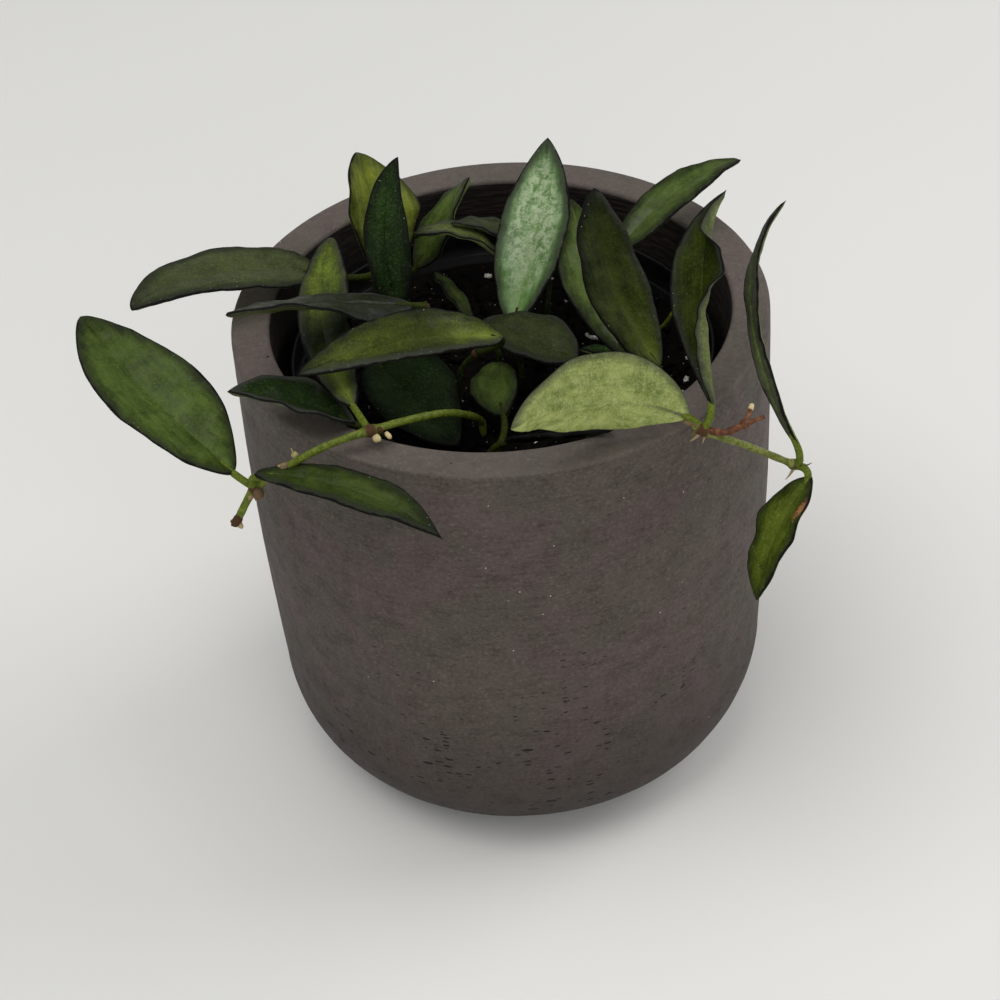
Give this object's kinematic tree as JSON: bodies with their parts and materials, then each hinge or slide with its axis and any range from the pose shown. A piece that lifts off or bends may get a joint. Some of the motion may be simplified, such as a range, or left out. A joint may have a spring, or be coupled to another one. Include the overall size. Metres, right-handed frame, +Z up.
{
  "type": "potted hoya plant",
  "caption": "Trailing hoya with waxy pointed leaves in a nursery pot of soil, standing in a round fibre-clay outer pot.",
  "frame": {"origin": "centre of the outer pot's flat base", "axes": "+Z up along the outer pot's axis; -Y is the front, where two vines hang over the rim; +X is the plant's right seen from the front"},
  "size_m": [0.1943, 0.1674, 0.1964],
  "materials": {
    "fibre_clay": "matt, dark taupe",
    "nursery_plastic": "black, satin",
    "peat_soil": "loose dark peat with white perlite",
    "vine": "olive green, waxy",
    "leaf": "dark green, waxy, with dark margins",
    "leaf_underside": "pale green, matt",
    "flower_stalk": "dry, red-brown"
  },
  "bodies": {
    "root": {"outer_pot": "fibre_clay", "nursery_pot": "nursery_plastic", "soil": "peat_soil", "front_vine": "vine", "right_vine": "vine", "left_vine": "vine", "back_left_vine": "vine", "centre_left_vine": "vine", "centre_vine": "vine", "silver_vine": "vine", "front_centre_vine": "vine", "low_vine": "vine", "low_left_vine": "vine", "front_left_vine": "vine", "back_centre_vine": "vine", "back_right_vine": "vine", "right_inner_vine": "vine", "middle_vine": "vine", "bare_stalk": "vine", "flower_stalk": "flower_stalk", "leaf_far_left": "leaf", "leaf_low_left": "leaf", "leaf_upper_left": "leaf", "leaf_thin_left": "leaf", "leaf_left_upright": "leaf", "leaf_centre_left": "leaf", "leaf_over_left_rim": "leaf", "leaf_low_dark": "leaf", "leaf_back_left_broad": "leaf", "leaf_back_left_tall": "leaf", "leaf_back_pointed": "leaf", "leaf_back_arched": "leaf", "leaf_back_small": "leaf", "leaf_silvery": "leaf", "leaf_right_inner": "leaf", "leaf_right_olive": "leaf", "leaf_back_right": "leaf", "leaf_right_folded": "leaf", "leaf_far_right_tall": "leaf", "leaf_far_right_hanging": "leaf", "leaf_pale_underside": "leaf_underside", "leaf_centre_front": "leaf", "leaf_centre_small": "leaf", "leaf_front_thin": "leaf", "leaf_right_small": "leaf", "leaf_centre_narrow": "leaf"}
  },
  "joints": []
}
